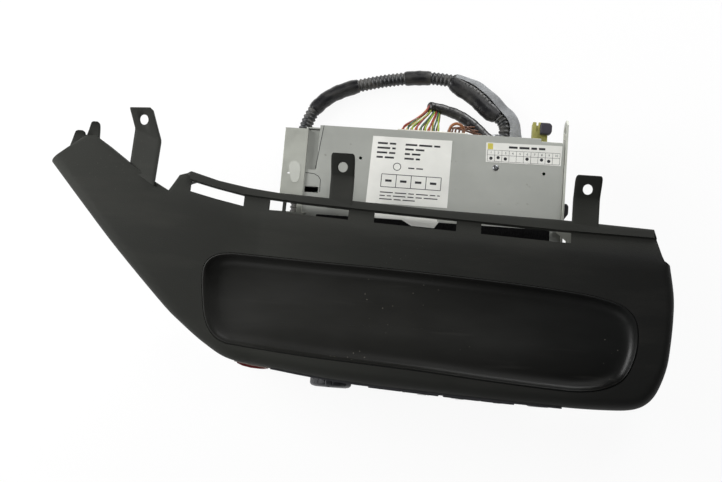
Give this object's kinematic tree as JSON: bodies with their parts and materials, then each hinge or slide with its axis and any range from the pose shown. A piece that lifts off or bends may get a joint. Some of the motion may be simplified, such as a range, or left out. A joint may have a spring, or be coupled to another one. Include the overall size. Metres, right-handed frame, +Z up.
{
  "type": "car radio",
  "caption": "Car radio and disc player in a sheet metal body with control face, dials and keys, under a wide moulded dashboard fascia with a smoked display lens, brackets and loom.",
  "frame": {"origin": "middle of the bottom face of the sheet metal body, on the line where its left and right halves meet", "axes": "+X to the right along the fascia, +Y from the control face to the rear panel, +Z up through the display lens"},
  "size_m": [0.4142, 0.2388, 0.1012],
  "materials": {
    "moulding": "fine grained moulding with rubbed edges",
    "lens": "smoked, scuffed to satin",
    "bezel": "satin",
    "key": "satin",
    "hazard": "gloss",
    "rim": "satin",
    "zinc": "zinc plated sheet steel",
    "bracket": "zinc plated pressed steel",
    "steel": "turned",
    "aluminium": "extruded",
    "board": "solder resist",
    "black": "moulded",
    "rubber": "soft",
    "white": "moulded",
    "olive": "moulded",
    "plum": "moulded",
    "felt": "felt",
    "foam": "foam tape",
    "conduit": "ribbed",
    "wire": "insulated wire"
  },
  "bodies": {
    "chassis": {"fascia_moulding": "moulding", "display_lens": "lens", "front_bezel": "bezel", "hazard_switch": "rim", "chassis_tub": "zinc", "top_cover": "zinc", "rear_panel": "zinc", "left_bracket": "bracket", "right_bracket": "bracket", "player_frame": "bracket", "tuner_can": "bracket", "volume_encoder": "steel", "tune_encoder": "steel", "spindle_motor": "steel", "sled_motor": "steel", "guide_rod": "steel", "aerial_socket": "steel", "fascia_screw_left": "steel", "fascia_screw_right": "steel", "heat_sink": "aluminium", "control_board": "board", "main_board": "board", "display_module": "black", "smoothing_capacitor": "black", "loom_junction": "black", "loom_clip": "black", "damper_1": "rubber", "damper_2": "rubber", "damper_3": "rubber", "damper_4": "rubber", "side_bumper": "rubber", "radio_socket": "white", "loom_plug": "white", "branch_plug": "white", "aux_socket": "olive", "aux_plug": "plum", "dust_felt": "felt", "foam_wrap": "foam", "loom_conduit": "conduit", "loom_bundle": "wire", "loop_wire": "wire"},
    "preset_button_1": {"preset_button_1": "key"},
    "preset_button_2": {"preset_button_2": "key"},
    "preset_button_3": {"preset_button_3": "key"},
    "preset_button_4": {"preset_button_4": "key"},
    "preset_button_5": {"preset_button_5": "key"},
    "preset_button_6": {"preset_button_6": "key"},
    "source_button": {"source_button": "key"},
    "seek_down_button": {"seek_down_button": "key"},
    "seek_up_button": {"seek_up_button": "key"},
    "eject_button": {"eject_button": "key"},
    "volume_dial": {"volume_dial": "key"},
    "tune_dial": {"tune_dial": "key"},
    "hazard_button": {"hazard_button": "hazard"},
    "feed_roller": {"feed_roller": "rubber"},
    "disc_turntable": {"disc_turntable": "black"},
    "clamp_arm": {"clamp_arm": "bracket"},
    "disc_clamp": {"disc_clamp": "black"},
    "laser_sled": {"laser_sled": "black"},
    "lead_screw": {"lead_screw": "steel"}
  },
  "joints": [
    {"name": "preset_button_1_press", "type": "slide", "parent": "chassis", "child": "preset_button_1", "axis": [0, 1, 0], "range_m": [0, 0.0012], "stiffness_N_per_m": 800, "springref_m": -0.0008},
    {"name": "preset_button_2_press", "type": "slide", "parent": "chassis", "child": "preset_button_2", "axis": [0, 1, 0], "range_m": [0, 0.0012], "stiffness_N_per_m": 800, "springref_m": -0.0008},
    {"name": "preset_button_3_press", "type": "slide", "parent": "chassis", "child": "preset_button_3", "axis": [0, 1, 0], "range_m": [0, 0.0012], "stiffness_N_per_m": 800, "springref_m": -0.0008},
    {"name": "preset_button_4_press", "type": "slide", "parent": "chassis", "child": "preset_button_4", "axis": [0, 1, 0], "range_m": [0, 0.0012], "stiffness_N_per_m": 800, "springref_m": -0.0008},
    {"name": "preset_button_5_press", "type": "slide", "parent": "chassis", "child": "preset_button_5", "axis": [0, 1, 0], "range_m": [0, 0.0012], "stiffness_N_per_m": 800, "springref_m": -0.0008},
    {"name": "preset_button_6_press", "type": "slide", "parent": "chassis", "child": "preset_button_6", "axis": [0, 1, 0], "range_m": [0, 0.0012], "stiffness_N_per_m": 800, "springref_m": -0.0008},
    {"name": "source_button_press", "type": "slide", "parent": "chassis", "child": "source_button", "axis": [0, 1, 0], "range_m": [0, 0.0012], "stiffness_N_per_m": 800, "springref_m": -0.0008},
    {"name": "seek_down_button_press", "type": "slide", "parent": "chassis", "child": "seek_down_button", "axis": [0, 1, 0], "range_m": [0, 0.0012], "stiffness_N_per_m": 800, "springref_m": -0.0008},
    {"name": "seek_up_button_press", "type": "slide", "parent": "chassis", "child": "seek_up_button", "axis": [0, 1, 0], "range_m": [0, 0.0012], "stiffness_N_per_m": 800, "springref_m": -0.0008},
    {"name": "eject_button_press", "type": "slide", "parent": "chassis", "child": "eject_button", "axis": [0, 1, 0], "range_m": [0, 0.0012], "stiffness_N_per_m": 800, "springref_m": -0.0008},
    {"name": "hazard_button_press", "type": "slide", "parent": "chassis", "child": "hazard_button", "axis": [0, 1, 0], "range_m": [0, 0.0025], "stiffness_N_per_m": 500, "springref_m": -0.0015},
    {"name": "volume_dial_turn", "type": "hinge", "parent": "chassis", "child": "volume_dial", "pos_m": [-0.06, -0.103, 0.0232], "axis": [0, 1, 0], "continuous": true},
    {"name": "tune_dial_turn", "type": "hinge", "parent": "chassis", "child": "tune_dial", "pos_m": [0.084, -0.103, 0.0232], "axis": [0, 1, 0], "continuous": true},
    {"name": "feed_roller_turn", "type": "hinge", "parent": "chassis", "child": "feed_roller", "pos_m": [0, -0.061, 0.0385], "axis": [1, 0, 0], "continuous": true},
    {"name": "turntable_turn", "type": "hinge", "parent": "chassis", "child": "disc_turntable", "pos_m": [0, -0.011, 0.0421], "axis": [0, 0, 1], "continuous": true},
    {"name": "clamp_arm_lift", "type": "hinge", "parent": "chassis", "child": "clamp_arm", "pos_m": [0, 0.05, 0.0444], "axis": [1, 0, 0], "range_deg": [-2.3, 0], "stiffness_Nm_per_rad": 3, "springref_deg": 2.86},
    {"name": "disc_clamp_turn", "type": "hinge", "parent": "clamp_arm", "child": "disc_clamp", "pos_m": [0, -0.011, 0.045], "axis": [0, 0, 1], "continuous": true},
    {"name": "laser_sled_travel", "type": "slide", "parent": "chassis", "child": "laser_sled", "axis": [0, 1, 0], "range_m": [0, 0.033]},
    {"name": "lead_screw_turn", "type": "hinge", "parent": "chassis", "child": "lead_screw", "pos_m": [-0.021, 0.02, 0.034], "axis": [0, 1, 0], "range_deg": [0, 2480]}
  ],
  "couplings": [
    {"joint": "disc_clamp_turn", "follows": "turntable_turn", "ratio": 1},
    {"joint": "lead_screw_turn", "follows": "laser_sled_travel", "rad_per_m": 1309}
  ]
}
